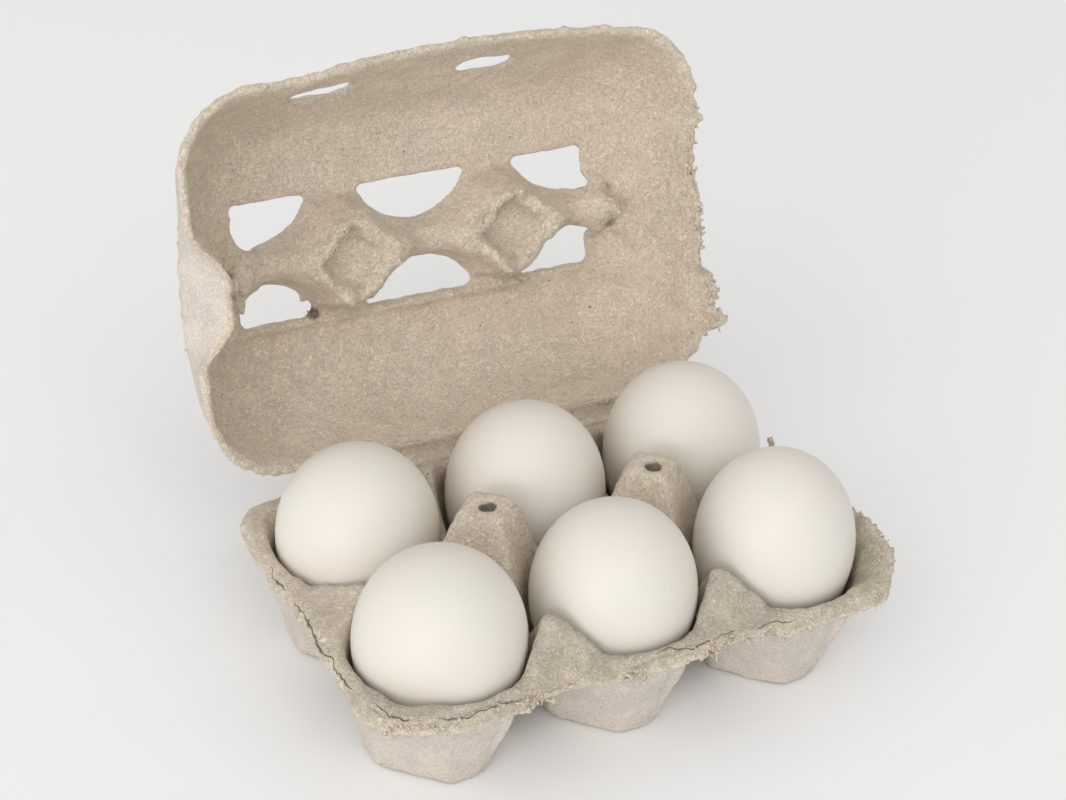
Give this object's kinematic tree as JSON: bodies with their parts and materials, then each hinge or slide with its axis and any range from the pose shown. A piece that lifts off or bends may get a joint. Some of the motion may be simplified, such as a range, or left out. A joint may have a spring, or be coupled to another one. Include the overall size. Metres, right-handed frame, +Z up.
{
  "type": "egg carton with eggs",
  "caption": "Small egg carton of moulded pulp, its windowed lid standing open on a back hinge, with a white egg in every cup.",
  "frame": {"origin": "on the floor, under the middle of the open carton's bounding box", "axes": "+X along the hinge, +Y from the tray's front towards the opened lid, +Z up"},
  "size_m": [0.152, 0.1572, 0.1354],
  "materials": {
    "moulded_pulp": "rough",
    "eggshell": "satin"
  },
  "bodies": {
    "tray": {"tray": "moulded_pulp", "egg_front_left": "eggshell", "egg_front_middle": "eggshell", "egg_front_right": "eggshell", "egg_back_left": "eggshell", "egg_back_middle": "eggshell", "egg_back_right": "eggshell"},
    "lid": {"lid": "moulded_pulp"}
  },
  "joints": [
    {"name": "lid_hinge", "type": "hinge", "parent": "tray", "child": "lid", "pos_m": [0, 0.0243, 0.031], "axis": [1, 0, 0], "range_deg": [-60, 106]}
  ]
}
